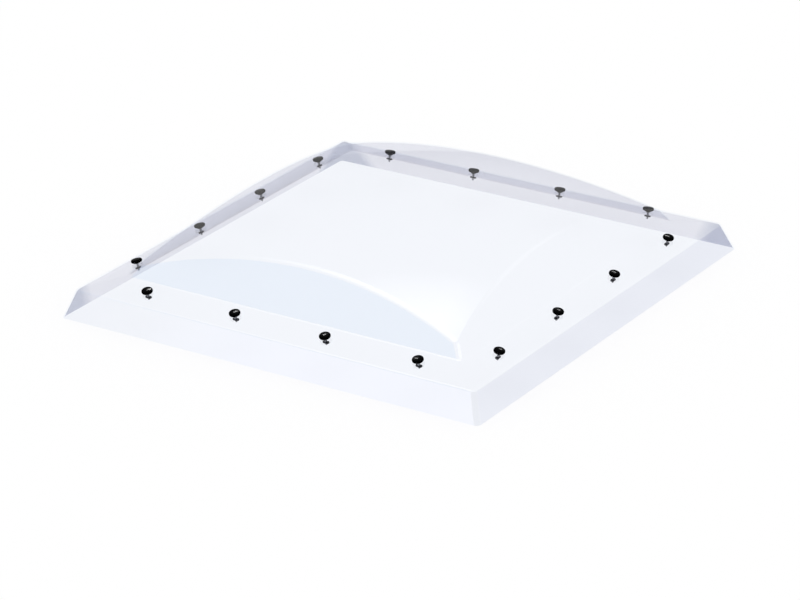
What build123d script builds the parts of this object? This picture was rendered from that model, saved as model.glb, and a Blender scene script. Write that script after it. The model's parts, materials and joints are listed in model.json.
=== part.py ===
from build123d import *
from math import asin, cos, degrees, radians, sin, sqrt, tan
import os

os.makedirs("parts", exist_ok=True)

# Dome sheet, outside sizes: plan, flange and skirt (angles in degrees)
opening_width = 900.0
flange_width = 80.0
flange_pitch = 13.6
skirt_depth = 65.0
skirt_splay = 21.0
sheet_thickness = 3.0

# Dome sheet: corner and bend radii of the outside
rim_corner_radius = 12.0
break_corner_radius = 10.0
break_radius = 6.0
foot_radius = 6.0

# Dome sheet: leaning arched faces and the vaulted crown they run into
face_lean = 35.0
crown_rise = 142.0
crown_corner_rise = 27.2
crown_edge_radius = 20.0

# Fixings: how they are spread over the flange
fixings_per_side = 4
fixing_pitch = 240.0
fixing_edge_distance = 46.0

# Sealing washer on the flange
washer_diameter = 14.0
washer_thickness = 1.6

# Cap base, the cup that the screw's head seats in
base_round_radius = 4.0
base_floor = 2.4
base_lip = 0.5
base_ring_height = 0.8
base_ring_wall = 1.4

# Cap
cap_diameter = 26.0
cap_wall = 1.4
cap_side = 3.4
cap_rim = 0.4
cap_dome_rise = 1.1

# Screw
screw_diameter = 5.0
screw_head_diameter = 9.6
screw_head_height = 3.0
screw_head_bevel = 0.8
screw_collar = 1.0
screw_end_diameter = 4.2
screw_end_length = 4.5
screw_point = 1.0
drive_width = 4.0
drive_depth = 1.8

# Retaining clip on the shank under the flange
clip_length = 16.0
clip_width = 8.0
clip_thickness = 3.0
clip_drop = 6.5
clip_edge = 0.6

# Clearances on the radius, and how far forms run past or under what they cut or join
screw_clearance = 0.2
clip_clearance = 0.1
cap_clearance = 0.2
hole_clearance = 1.5
cut_overrun = 2.0
flange_underlap = 20.0

# Side profile of the sheet's outside, from the rim up
break_half = opening_width / 2 + flange_width
rim_half = break_half + skirt_depth * tan(radians(skirt_splay))
foot_half = opening_width / 2
foot_height = skirt_depth + flange_width * tan(radians(flange_pitch))
flange_lean = 90 - flange_pitch

# Ball of the crown: through the top of the crown and the four corners where the arched faces meet
crown_height = foot_height + crown_rise
corner_reach = (foot_half - crown_corner_rise * tan(radians(face_lean))) * sqrt(2)
corner_drop = crown_rise - crown_corner_rise
crown_radius = (corner_reach**2 + corner_drop**2) / (2 * corner_drop)

# Levels of a fixing along its axis, measured from the top of the flange
screw_radius = screw_diameter / 2
cap_radius = cap_diameter / 2
base_floor_level = washer_thickness + base_floor
base_lip_level = washer_thickness + base_round_radius + base_lip
base_ring_level = base_lip_level + base_ring_height
cap_shoulder_level = base_lip_level + cap_side
cap_top_level = cap_shoulder_level + cap_dome_rise
screw_head_level = base_floor_level + screw_head_height
clip_level = -sheet_thickness - clip_drop - clip_thickness
screw_collar_level = clip_level - screw_collar


def inset_bend(half, height, lean_below, lean_above, inset):
    """Bend between two walls, moved in so that it lies the inset away from both."""
    below, above = radians(lean_below), radians(lean_above)
    step = inset / (1 + cos(above - below))
    return half - step * (cos(below) + cos(above)), height - step * (sin(below) + sin(above))


def in_order(edges):
    """The edges in an order set by their places, so that every build rounds them alike."""
    return edges.sort_by(Axis.X).sort_by(Axis.Y).sort_by(Axis.Z)


def crown_form(inset):
    """Solid under the arched faces and the crown: a leaning block trimmed by a large ball."""
    half, height = inset_bend(foot_half, foot_height, flange_lean, face_lean, inset)
    low_half = half + (height - skirt_depth) * tan(radians(face_lean))
    with BuildPart() as form:
        with BuildSketch(Plane.XY.offset(skirt_depth)):
            Rectangle(2 * low_half, 2 * low_half)
        extrude(amount=crown_height + cut_overrun - skirt_depth, taper=face_lean)
        with Locations((0, 0, crown_height - crown_radius)):
            Sphere(crown_radius - inset, rotation=(90, 0, 0), mode=Mode.INTERSECT)
        low_edges = form.faces().sort_by(Axis.Z)[0].edges()
        fillet(in_order(form.edges() - low_edges), crown_edge_radius - inset)
    return form.part


def sheet_form(inset):
    """Whole form of the sheet: its outside at no inset, its inside at the sheet's thickness."""
    rim_inset = inset / cos(radians(skirt_splay))
    rim_width = 2 * (rim_half - rim_inset)
    break_in, break_height = inset_bend(break_half, skirt_depth, skirt_splay, flange_lean, inset)
    break_corner = break_corner_radius - (break_half - break_in)
    flange_run = flange_width + flange_underlap
    flange_rise = flange_run * tan(radians(flange_pitch))
    flange_end = 2 * (break_in - flange_run)
    crown = crown_form(inset)
    with BuildPart() as form:
        with BuildSketch(Plane.XY):
            RectangleRounded(rim_width, rim_width, rim_corner_radius - rim_inset)
        with BuildSketch(Plane.XY.offset(break_height)):
            RectangleRounded(2 * break_in, 2 * break_in, break_corner)
        loft(ruled=True)
        with BuildSketch(Plane.XY.offset(break_height)):
            RectangleRounded(2 * break_in, 2 * break_in, break_corner)
        with BuildSketch(Plane.XY.offset(break_height + flange_rise)):
            RectangleRounded(flange_end, flange_end, break_corner)
        loft(ruled=True)
        break_loop = form.edges().group_by(Axis.Z)[2]
        fillet(break_loop, break_radius - inset)
        add(crown)
        fillet(in_order(form.edges(Select.NEW)), foot_radius + inset)
    return form.part


def side_planes(turn):
    """Planes of one side's fixings, lying on the flange with their axes square to it."""
    half = break_half - fixing_edge_distance
    height = skirt_depth + fixing_edge_distance * tan(radians(flange_pitch))
    outward = Vector(0, -sin(radians(flange_pitch)), cos(radians(flange_pitch)))
    planes = []
    for index in range(fixings_per_side):
        along = (index - (fixings_per_side - 1) / 2) * fixing_pitch
        planes.append(
            Plane(
                origin=Vector(along, -half, height).rotate(Axis.Z, turn),
                x_dir=Vector(1, 0, 0).rotate(Axis.Z, turn),
                z_dir=outward.rotate(Axis.Z, turn),
            )
        )
    return planes


side_turns = {"front": 0, "right": 90, "back": 180, "left": 270}
sides = {side: side_planes(turn) for side, turn in side_turns.items()}

# Dome sheet: one formed sheet, with a clearance hole for each screw
with BuildPart() as dome_sheet:
    add(sheet_form(0))
    add(sheet_form(sheet_thickness), mode=Mode.SUBTRACT)
    for planes in sides.values():
        with BuildSketch(*planes):
            Circle(screw_radius + hole_clearance)
        extrude(amount=sheet_thickness + cut_overrun, both=True, mode=Mode.SUBTRACT)

# Sealing washer: a soft ring between the flange and the cap base
with BuildPart() as sealing_washer:
    with BuildSketch(Plane.XY):
        Circle(washer_diameter / 2)
        Circle(screw_radius + screw_clearance, mode=Mode.SUBTRACT)
    extrude(amount=washer_thickness)

# Cap base: a round-bottomed cup with a lip for the cap's rim and a ring that the cap slides over
with BuildPart() as cap_base:
    ring_radius = cap_radius - cap_wall - cap_clearance
    with BuildSketch(Plane.XZ) as cup:
        with BuildLine():
            Polyline(
                (screw_radius + screw_clearance, washer_thickness),
                (cap_radius, washer_thickness),
                (cap_radius, base_lip_level),
                (ring_radius, base_lip_level),
                (ring_radius, base_ring_level),
                (ring_radius - base_ring_wall, base_ring_level),
                (ring_radius - base_ring_wall, base_floor_level),
                (screw_radius + screw_clearance, base_floor_level),
                close=True,
            )
        make_face()
        low_corner = cup.vertices().group_by(Axis.X)[-1].sort_by(Axis.Y)[0]
        fillet(low_corner, base_round_radius)
    revolve(axis=Axis.Z)

# Cap: a shallow hollow dome with a rounded shoulder, which stands on the base's lip
with BuildPart() as cap:
    dome_radius = (cap_radius**2 + cap_dome_rise**2) / (2 * cap_dome_rise)
    dome_centre = (0, cap_top_level - dome_radius)
    inner_radius = cap_radius - cap_wall
    outer_angle = degrees(asin(cap_radius / dome_radius))
    inner_angle = degrees(asin(inner_radius / (dome_radius - cap_wall)))
    shoulder_radius = (cap_side - cap_rim) / tan(radians(90 - outer_angle) / 2)
    with BuildSketch(Plane.XZ) as profile:
        with BuildLine():
            outer = CenterArc(dome_centre, dome_radius, 90 - outer_angle, outer_angle)
            inner = CenterArc(dome_centre, dome_radius - cap_wall, 90 - inner_angle, inner_angle)
            Line(outer @ 1, inner @ 1)
            Polyline(inner @ 0, (inner_radius, base_lip_level), (cap_radius, base_lip_level), outer @ 0)
        make_face()
        outer_shoulder = profile.vertices().group_by(Axis.X)[-1].sort_by(Axis.Y)[-1]
        fillet(outer_shoulder, shoulder_radius)
        inner_shoulder = profile.vertices().group_by(Axis.X)[-2].sort_by(Axis.Y)[-1]
        fillet(inner_shoulder, shoulder_radius - cap_wall)
    revolve(axis=Axis.Z)

# Screw: bevelled head with a hexagon socket, a plain shank and a thinner, pointed end
with BuildPart() as screw:
    with BuildSketch(Plane.XY.offset(base_floor_level)):
        Circle(screw_head_diameter / 2)
    extrude(amount=screw_head_height)
    chamfer(screw.edges().group_by(Axis.Z)[-1], screw_head_bevel)
    with BuildSketch(Plane.XY.offset(screw_head_level)):
        RegularPolygon(drive_width / 2, side_count=6, major_radius=False)
    extrude(amount=-drive_depth, mode=Mode.SUBTRACT)
    with BuildSketch(Plane.XY.offset(screw_collar_level)):
        Circle(screw_radius)
    extrude(amount=base_floor_level - screw_collar_level)
    with BuildSketch(Plane.XY.offset(screw_collar_level)):
        Circle(screw_end_diameter / 2)
    extrude(amount=-screw_end_length)
    chamfer(screw.edges().group_by(Axis.Z)[0], screw_point)

# Retaining clip: an oblong pushed on to the shank, long side along the edge of the flange
with BuildPart() as retaining_clip:
    with BuildSketch(Plane.XY.offset(clip_level)):
        SlotOverall(clip_length, clip_width)
        Circle(screw_radius + clip_clearance, mode=Mode.SUBTRACT)
    extrude(amount=clip_thickness)
    outline = retaining_clip.faces().sort_by(Axis.Z)[0].outer_wire().edges()
    chamfer(outline, clip_edge)

fixing_pieces = {
    "sealing_washers": sealing_washer,
    "cap_bases": cap_base,
    "caps": cap,
    "screws": screw,
    "retaining_clips": retaining_clip,
}

dome_sheet.part.label = "dome_sheet"
export_step(dome_sheet.part, "parts/dome_sheet.step")

# Each side's four fixings, one node for each kind of piece
for side, planes in sides.items():
    for kind, piece in fixing_pieces.items():
        with BuildPart() as row:
            with Locations(*planes):
                add(piece.part)
        row.part.label = f"{kind}_{side}"
        export_step(row.part, f"parts/{kind}_{side}.step")
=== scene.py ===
import json
from math import cos, pi, radians, sin

import bpy
from mathutils import Matrix, Vector


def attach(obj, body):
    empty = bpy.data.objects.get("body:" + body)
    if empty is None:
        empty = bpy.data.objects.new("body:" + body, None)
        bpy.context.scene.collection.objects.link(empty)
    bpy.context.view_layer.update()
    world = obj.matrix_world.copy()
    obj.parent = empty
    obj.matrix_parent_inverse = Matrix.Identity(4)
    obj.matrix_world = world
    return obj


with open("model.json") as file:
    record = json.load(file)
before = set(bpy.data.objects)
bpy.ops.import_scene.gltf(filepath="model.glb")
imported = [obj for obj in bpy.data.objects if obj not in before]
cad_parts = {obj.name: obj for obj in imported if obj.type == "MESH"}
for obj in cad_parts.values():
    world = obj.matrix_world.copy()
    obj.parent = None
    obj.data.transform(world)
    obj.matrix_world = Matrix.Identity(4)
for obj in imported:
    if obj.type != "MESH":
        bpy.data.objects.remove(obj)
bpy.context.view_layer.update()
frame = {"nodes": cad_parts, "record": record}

# Camera: where it stands about the pivot, where it aims, and its lens (metres, degrees, millimetres)
camera_pivot = Vector((0.0, 0.0, 0.065))
camera_azimuth = 34.218
camera_elevation = 23.01
camera_distance = 8.472
camera_roll = -1.57
camera_aim_right = -0.0075
camera_aim_up = -0.1002
camera_lens = 167.9
camera_sensor = 36.0
camera_clip_end = 100.0

# Studio: white floor and even white light, with cards and lamps on a ball round the object (metres)
white = (1.0, 1.0, 1.0, 1.0)
floor_size = 40.0
light_level = 1.0
studio_radius = 18.0
card_columns = 24
card_rows = 8
cap_light_size = (1.6, 0.9)

# Cards, which only reflections see: azimuths and elevations (degrees), colour,
# and how far they fade at the sides, at the foot and at the top (degrees)
cards = {
    "right_card": ((18, 78), (-1, 16), (0, 0, 0.3, 1), (8, 0.5, 14)),
    "back_card": ((78, 130), (-1, 16), (0.2, 0.2, 0.25, 1), (6, 0.5, 14)),
    "left_back_card": ((131, 172), (-1, 15), (1.3, 1.3, 1.3, 1), (4, 0.5, 5)),
    "left_card": ((200, 234.5), (-1, 21), (0.35, 0.35, 0.45, 1), (3, 0.5, 4)),
    "front_card": ((234.5, 254), (-1, 22), (1.2, 1.2, 1.5, 1), (2.5, 0.5, 3)),
    "camera_card": ((254, 388), (-1, 36), (0.05, 0.05, 0.15, 1), (10, 0.5, 6)),
    "arch_card": ((220, 250), (22.5, 42), (0, 0.4, 0.85, 1), (4, 2, 4)),
    "right_box": ((58, 102), (31, 54), (1.3, 1.3, 1.3, 1), (8, 5, 5)),
    "front_box": ((280, 355), (37, 70), (1.9, 1.9, 1.9, 1), (6, 6, 6)),
    "soft_box": ((104, 250), (49.5, 89), (2.4, 2.4, 2.4, 1), (10, 13, 2)),
}

# Lamps for the caps alone: the nodes they light, azimuth and elevation (degrees), and power (watts)
cap_lights = {
    "front_light": (("caps_front", "caps_left"), 139, 46, 3300),
    "right_light": (("caps_right", "caps_back"), 106, 36, 1050),
}

# Screw threads: where each stretch starts and ends over the middle of the screw's end, and its radius,
# then the ridge's form (metres), its steps in a turn, and the turns in which it grows to full height
thread_stretches = ((0.0059, 0.0117, 0.0025), (-0.0016, 0.0016, 0.0021))
thread_pitch = 0.001
thread_height = 0.00035
thread_half_base = 0.00032
thread_sink = 0.00006
thread_corners = 3
thread_steps = 24
thread_run_out = 0.2

# Ranges and noise: a whole share, the part of the noise that is used, its detail, and a grain's strength
whole = (0.0, 1.0)
noise_range = (0.3, 0.7)
noise_detail = 3.0
grain_strength = 0.3

# Clear sheet: what it lets through from outside; from inside, a greyer tint that is painted shade for
# the dim far walls;
# low in the inside corners, a darker painted shade; and the bare tint for rays that leave the plastic or
# only carry light to other things
outside_tint = (0.955, 0.98, 1.0, 1.0)
inside_painted_shade = (0.86, 0.85, 0.885, 1.0)
corner_painted_shade = (0.605, 0.62, 0.70, 1.0)
bare_tint = (0.987, 0.987, 0.998, 1.0)

# Clear sheet: where the painted corner shade starts and is full, out from both middle lines (metres),
# and how much further out it lies for each metre of height
corner_shade_reach = (0.44, 0.48)
corner_shade_slant = 0.6

# Clear sheet: weight of the gloss over a range of the Fresnel share, and its roughness
sheet_ior = 1.58
fresnel_range = (0.05, 0.3)
gloss_weight = (0.095, 0.115)
gloss_roughness = (0.03, 0.08)
gloss_scale = 6.0

# Moulded pieces: colours, and the scales at which tone and roughness change (per metre)
black = (0.0004, 0.0004, 0.0005, 1)
soot = (0.0014, 0.0014, 0.0016, 1)
rubber_grey = (0.02, 0.02, 0.021, 1)
dark_grey = (0.03, 0.03, 0.034, 1)
clip_grey = (0.06, 0.06, 0.066, 1)
tone_scale = 90.0
wear_scale = 240.0

# Moulded pieces by kind: material, darkest and lightest colour, shine, roughness,
# and the grain's scale (per metre) and depth (metres)
mouldings = {
    "caps": ("cap_plastic", black, soot, 0.004, (0.09, 0.15), 1500.0, 0.00002),
    "cap_bases": ("base_plastic", black, soot, 0.02, (0.4, 0.55), 1200.0, 0.00008),
    "sealing_washers": ("washer_rubber", soot, rubber_grey, 0.1, (0.7, 0.85), 900.0, 0.0001),
    "retaining_clips": ("clip_plastic", dark_grey, clip_grey, 0.1, (0.4, 0.55), 1200.0, 0.00008),
}

# Steel of the screws: colours and roughness, and the scales at which they change (per metre)
steel_dark = (0.32, 0.32, 0.33, 1)
steel_light = (0.44, 0.44, 0.46, 1)
steel_tone_scale = 300.0
steel_roughness = (0.22, 0.38)
steel_wear_scale = 700.0


def new_material(name):
    """A material, its emptied node tree and the surface socket of its output."""
    material = bpy.data.materials.new(name)
    material.use_nodes = True
    tree = material.node_tree
    tree.nodes.clear()
    output = tree.nodes.new("ShaderNodeOutputMaterial")
    return material, tree, output.inputs["Surface"]


def object_place(tree):
    """The object's own coordinates."""
    return tree.nodes.new("ShaderNodeTexCoord").outputs["Object"]


def split(tree, vector):
    """The X, Y and Z of a vector."""
    node = tree.nodes.new("ShaderNodeSeparateXYZ")
    tree.links.new(vector, node.inputs["Vector"])
    return node.outputs["X"], node.outputs["Y"], node.outputs["Z"]


def noise(tree, scale):
    """Noise over the object's own coordinates."""
    texture = tree.nodes.new("ShaderNodeTexNoise")
    texture.inputs["Scale"].default_value = scale
    texture.inputs["Detail"].default_value = noise_detail
    tree.links.new(object_place(tree), texture.inputs["Vector"])
    return texture.outputs["Fac"]


def mapped(tree, value, to_range, from_range=noise_range):
    """A value mapped from one range to another."""
    node = tree.nodes.new("ShaderNodeMapRange")
    node.inputs["From Min"].default_value = from_range[0]
    node.inputs["From Max"].default_value = from_range[1]
    node.inputs["To Min"].default_value = to_range[0]
    node.inputs["To Max"].default_value = to_range[1]
    tree.links.new(value, node.inputs["Value"])
    return node.outputs["Result"]


def blended(tree, value, low, high, from_range=noise_range):
    """A colour between two colours, by a value."""
    node = tree.nodes.new("ShaderNodeValToRGB")
    first, last = node.color_ramp.elements
    first.position, last.position = from_range
    first.color, last.color = low, high
    tree.links.new(value, node.inputs["Fac"])
    return node.outputs["Color"]


def maths(tree, operation, first, second=None):
    """One operation on a value, with a second value or a number where it takes two."""
    node = tree.nodes.new("ShaderNodeMath")
    node.operation = operation
    tree.links.new(first, node.inputs[0])
    if isinstance(second, float):
        node.inputs[1].default_value = second
    elif second is not None:
        tree.links.new(second, node.inputs[1])
    return node.outputs["Value"]


def mixed(tree, share, first, second):
    """Two shaders mixed by a share."""
    node = tree.nodes.new("ShaderNodeMixShader")
    tree.links.new(share, node.inputs["Fac"])
    tree.links.new(first.outputs[0], node.inputs[1])
    tree.links.new(second.outputs[0], node.inputs[2])
    return node


def bumped(tree, height, distance):
    """A normal bent by a height."""
    node = tree.nodes.new("ShaderNodeBump")
    node.inputs["Strength"].default_value = grain_strength
    node.inputs["Distance"].default_value = distance
    tree.links.new(height, node.inputs["Height"])
    return node.outputs["Normal"]


def clear_sheet():
    """Clear formed sheet with a thin gloss, pale blue from outside, and greyer from inside with painted
    shade.
    """
    material, tree, surface = new_material("clear_sheet")
    nodes, links = tree.nodes, tree.links

    # The outside faces up and the inside down
    side = nodes.new("ShaderNodeNewGeometry")
    upward = split(tree, side.outputs["Normal"])[2]
    inner = maths(tree, "LESS_THAN", upward, 0.0)
    outer = maths(tree, "GREATER_THAN", upward, 0.0)

    # Tinted film with painted shade: greyer on the inside, darkest low in the inside corners
    x, y, z = split(tree, object_place(tree))
    across = maths(tree, "ABSOLUTE", x)
    along = maths(tree, "ABSOLUTE", y)
    raised = maths(tree, "MULTIPLY", z, corner_shade_slant)
    corner = maths(tree, "SUBTRACT", maths(tree, "MINIMUM", across, along), raised)
    shade = mapped(tree, corner, whole, corner_shade_reach)
    inside = blended(tree, shade, inside_painted_shade, corner_painted_shade, whole)
    passed = nodes.new("ShaderNodeMix")
    passed.data_type = "RGBA"
    links.new(inner, passed.inputs["Factor"])
    passed.inputs["A"].default_value = outside_tint
    links.new(inside, passed.inputs["B"])
    film = nodes.new("ShaderNodeBsdfTransparent")
    links.new(passed.outputs["Result"], film.inputs["Color"])

    # Gloss on the outside only
    gloss = nodes.new("ShaderNodeBsdfGlossy")
    roughness = mapped(tree, noise(tree, gloss_scale), gloss_roughness)
    links.new(roughness, gloss.inputs["Roughness"])
    fresnel = nodes.new("ShaderNodeFresnel")
    fresnel.inputs["IOR"].default_value = sheet_ior
    weight = mapped(tree, fresnel.outputs["Fac"], gloss_weight, fresnel_range)
    wall = mixed(tree, maths(tree, "MULTIPLY", weight, outer), film, gloss)

    # Nearly clear for rays that leave the plastic or only carry light
    clear = nodes.new("ShaderNodeBsdfTransparent")
    clear.inputs["Color"].default_value = bare_tint
    rays = nodes.new("ShaderNodeLightPath")
    shadow, diffuse = rays.outputs["Is Shadow Ray"], rays.outputs["Is Diffuse Ray"]
    lighting = maths(tree, "MAXIMUM", shadow, diffuse)
    leaving = maths(tree, "MAXIMUM", side.outputs["Backfacing"], lighting)
    links.new(mixed(tree, leaving, wall, clear).outputs[0], surface)
    return material


def moulded(name, low, high, shine, roughness, grain_scale, grain_depth):
    """Moulded plastic or rubber with a fine grain and a slight change of tone."""
    material, tree, surface = new_material(name)
    shader = tree.nodes.new("ShaderNodeBsdfPrincipled")
    shader.inputs["Specular IOR Level"].default_value = shine
    tone = blended(tree, noise(tree, tone_scale), low, high)
    wear = mapped(tree, noise(tree, wear_scale), roughness)
    grain = bumped(tree, noise(tree, grain_scale), grain_depth)
    tree.links.new(tone, shader.inputs["Base Color"])
    tree.links.new(wear, shader.inputs["Roughness"])
    tree.links.new(grain, shader.inputs["Normal"])
    tree.links.new(shader.outputs["BSDF"], surface)
    return material


def steel():
    """Plain steel with slight changes of tone and roughness."""
    material, tree, surface = new_material("screw_steel")
    shader = tree.nodes.new("ShaderNodeBsdfPrincipled")
    shader.inputs["Metallic"].default_value = 1.0
    tone = blended(tree, noise(tree, steel_tone_scale), steel_dark, steel_light)
    wear = mapped(tree, noise(tree, steel_wear_scale), steel_roughness)
    tree.links.new(tone, shader.inputs["Base Color"])
    tree.links.new(wear, shader.inputs["Roughness"])
    tree.links.new(shader.outputs["BSDF"], surface)
    return material


def dress_nodes():
    """Each CAD node gets the material of its own kind of piece."""
    kinds = {"dome_sheet": clear_sheet()}
    for kind, values in mouldings.items():
        kinds[kind] = moulded(*values)
    kinds["screws"] = steel()
    for name, node in frame["nodes"].items():
        kind = max((k for k in kinds if name.startswith(k)), key=len)
        for slot in node.material_slots:
            slot.material = kinds[kind]
    return kinds


def add_object(name, points, faces, material):
    """An object with a mesh of its own and one material, put in the scene."""
    mesh = bpy.data.meshes.new(name)
    mesh.from_pydata(points, [], faces)
    mesh.materials.append(material)
    added = bpy.data.objects.new(name, mesh)
    bpy.context.scene.collection.objects.link(added)
    return added


def add_thread(points, faces, foot, axis, across, low, high, radius):
    """Adds one helical ridge round an axis, which grows out of the shank at both ends."""
    beside = axis.cross(across)
    turns = (high - low) / thread_pitch
    count = round(turns * thread_steps)
    first = len(points)
    for step in range(count + 1):
        share = step / count
        angle = 2 * pi * turns * share
        outward = cos(angle) * across + sin(angle) * beside
        grown = min(1.0, turns * min(share, 1 - share) / thread_run_out)
        middle = foot + (low + (high - low) * share) * axis
        root = middle + (radius - thread_sink) * outward
        points.append(root - thread_half_base * axis)
        points.append(middle + (radius + thread_height * grown) * outward)
        points.append(root + thread_half_base * axis)
    for step in range(count):
        here = first + thread_corners * step
        for side in range(thread_corners):
            near, far = here + side, here + (side + 1) % thread_corners
            faces.append((near + thread_corners, far + thread_corners, far, near))
    last = first + thread_corners * count
    faces.append((first, first + 1, first + 2))
    faces.append((last + 2, last + 1, last))


def make_threads(material):
    """The threads of all the screws, set by the screws' mounts in the record."""
    points, faces = [], []
    for mount in frame["record"]["mounts"]:
        if not mount["name"].startswith("screw_end"):
            continue
        foot = Vector(mount["pos_m"])
        axis = -Vector(mount["axis"]).normalized()
        across = axis.orthogonal().normalized()
        for low, high, radius in thread_stretches:
            add_thread(points, faces, foot, axis, across, low, high, radius)
    threads = add_object("screw_threads", points, faces, material)
    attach(threads, "root")


def make_floor():
    """A plain white floor, which gives the white background and takes the shadow."""
    material, tree, surface = new_material("floor_white")
    shader = tree.nodes.new("ShaderNodeBsdfDiffuse")
    shader.inputs["Color"].default_value = white
    tree.links.new(shader.outputs["BSDF"], surface)
    half = floor_size / 2
    points = [(-half, -half, 0), (half, -half, 0), (half, half, 0), (-half, half, 0)]
    floor = add_object("floor", points, [(0, 1, 2, 3)], material)


def make_world():
    """Even white light from all round."""
    world = bpy.data.worlds.new("studio")
    bpy.context.scene.world = world
    world.use_nodes = True
    background = world.node_tree.nodes["Background"]
    background.inputs["Color"].default_value = white
    background.inputs["Strength"].default_value = light_level


def card_paint(name, half, low, high, colour, fades):
    """Light of one colour that fades into white at the card's edges."""
    material, tree, surface = new_material(name)
    x, y, z = split(tree, object_place(tree))
    turn = maths(tree, "ABSOLUTE", maths(tree, "ARCTAN2", y, x))
    tilt = maths(tree, "ARCSINE", maths(tree, "DIVIDE", z, studio_radius))
    side_fade, low_fade, high_fade = fades
    to_side = mapped(tree, turn, whole[::-1], (radians(half - side_fade), radians(half)))
    to_foot = mapped(tree, tilt, whole, (radians(low), radians(low + low_fade)))
    to_top = mapped(tree, tilt, whole[::-1], (radians(high - high_fade), radians(high)))
    share = maths(tree, "MULTIPLY", maths(tree, "MULTIPLY", to_foot, to_top), to_side)
    shader = tree.nodes.new("ShaderNodeEmission")
    tree.links.new(blended(tree, share, white, colour, whole), shader.inputs["Color"])
    tree.links.new(shader.outputs["Emission"], surface)
    return material


def make_card(name, azimuths, elevations, colour, fades):
    """A card on the studio's ball, which shows only in reflections."""
    left, right = azimuths
    low, high = elevations
    half = (right - left) / 2
    points, faces = [], []
    for row in range(card_rows + 1):
        tilt = radians(low + (high - low) * row / card_rows)
        reach, height = studio_radius * cos(tilt), studio_radius * sin(tilt)
        for column in range(card_columns + 1):
            turn = radians(half * (2 * column / card_columns - 1))
            points.append((reach * cos(turn), reach * sin(turn), height))
    width = card_columns + 1
    for row in range(card_rows):
        for column in range(card_columns):
            first = row * width + column
            faces.append((first, first + 1, first + 1 + width, first + width))
    card = add_object(name, points, faces, card_paint(name, half, low, high, colour, fades))
    card.rotation_euler.z = radians((left + right) / 2)
    card.visible_camera = False
    card.visible_diffuse = False
    card.visible_transmission = False
    card.visible_shadow = False


def make_cap_light(name, receivers, azimuth, elevation, power):
    """A lamp that gives the black caps their highlight and lights nothing else."""
    data = bpy.data.lights.new(name, "AREA")
    data.shape = "RECTANGLE"
    data.size, data.size_y = cap_light_size
    data.energy = power
    lamp = bpy.data.objects.new(name, data)
    turn, tilt = radians(azimuth), radians(elevation)
    away = Vector((cos(turn) * cos(tilt), sin(turn) * cos(tilt), sin(tilt)))
    lamp.location = studio_radius * away
    lamp.rotation_euler = away.to_track_quat("Z", "Y").to_euler()
    lamp.visible_camera = False
    bpy.context.scene.collection.objects.link(lamp)
    lit = bpy.data.collections.new(name)
    for receiver in receivers:
        lit.objects.link(frame["nodes"][receiver])
    lamp.light_linking.receiver_collection = lit


def make_camera():
    """The camera at the photograph's viewing angle."""
    turn, tilt = radians(camera_azimuth), radians(camera_elevation)
    back = Vector((sin(turn) * cos(tilt), -cos(turn) * cos(tilt), sin(tilt)))
    right = Vector((cos(turn), sin(turn), 0))
    up = back.cross(right)
    roll = Matrix.Rotation(radians(camera_roll), 3, back)
    right, up = roll @ right, roll @ up
    place = camera_pivot + camera_distance * back
    aim = camera_pivot + camera_aim_right * right + camera_aim_up * up
    back = (place - aim).normalized()
    right = up.cross(back).normalized()
    up = back.cross(right)
    data = bpy.data.cameras.new("camera")
    data.sensor_fit = "HORIZONTAL"
    data.sensor_width = camera_sensor
    data.lens = camera_lens
    data.clip_end = camera_clip_end
    camera = bpy.data.objects.new("camera", data)
    camera.matrix_world = Matrix((right, up, back)).transposed().to_4x4()
    camera.location = place
    bpy.context.scene.collection.objects.link(camera)
    bpy.context.scene.camera = camera


kinds = dress_nodes()
make_threads(kinds["screws"])
make_floor()
make_world()
for name, values in cards.items():
    make_card(name, *values)
for name, values in cap_lights.items():
    make_cap_light(name, *values)
make_camera()
bpy.context.scene.view_settings.view_transform = "Standard"
